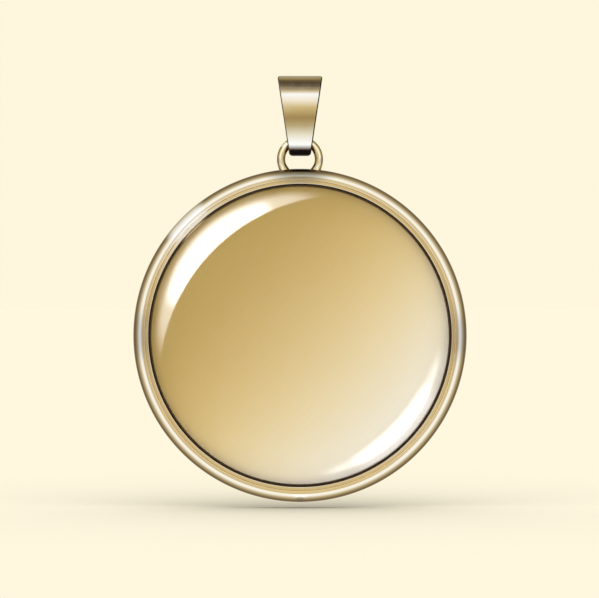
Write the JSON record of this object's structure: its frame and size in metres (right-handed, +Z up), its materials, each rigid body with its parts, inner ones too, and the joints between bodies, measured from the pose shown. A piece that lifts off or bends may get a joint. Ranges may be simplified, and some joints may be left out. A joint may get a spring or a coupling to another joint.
{
  "type": "disc pendant",
  "caption": "Round domed-glass disc pendant with a gold tray, a soldered ring and a tapered strap bail for a chain.",
  "frame": {"origin": "Top of the bail's inside, where a chain bears and the pendant hangs", "axes": "+Z up, the way it hangs; +Y to the back, so the face looks along -Y; +X to the right as seen from the front"},
  "size_m": [0.028, 0.0055, 0.0358],
  "materials": {
    "gold": "polished gold plate on brass under clear lacquer",
    "satin_gold": "satin gold plate, finely brushed",
    "glass": "clear polished glass"
  },
  "bodies": {
    "bail_body": {"bail": "gold"},
    "medallion_body": {"setting": "gold", "face_plate": "satin_gold", "glass_dome": "glass"}
  },
  "joints": [
    {"name": "swing", "type": "hinge", "parent": "bail_body", "child": "medallion_body", "pos_m": [0, 0, -0.00502], "axis": [1, 0, 0], "range_deg": [-90, 90]}
  ]
}
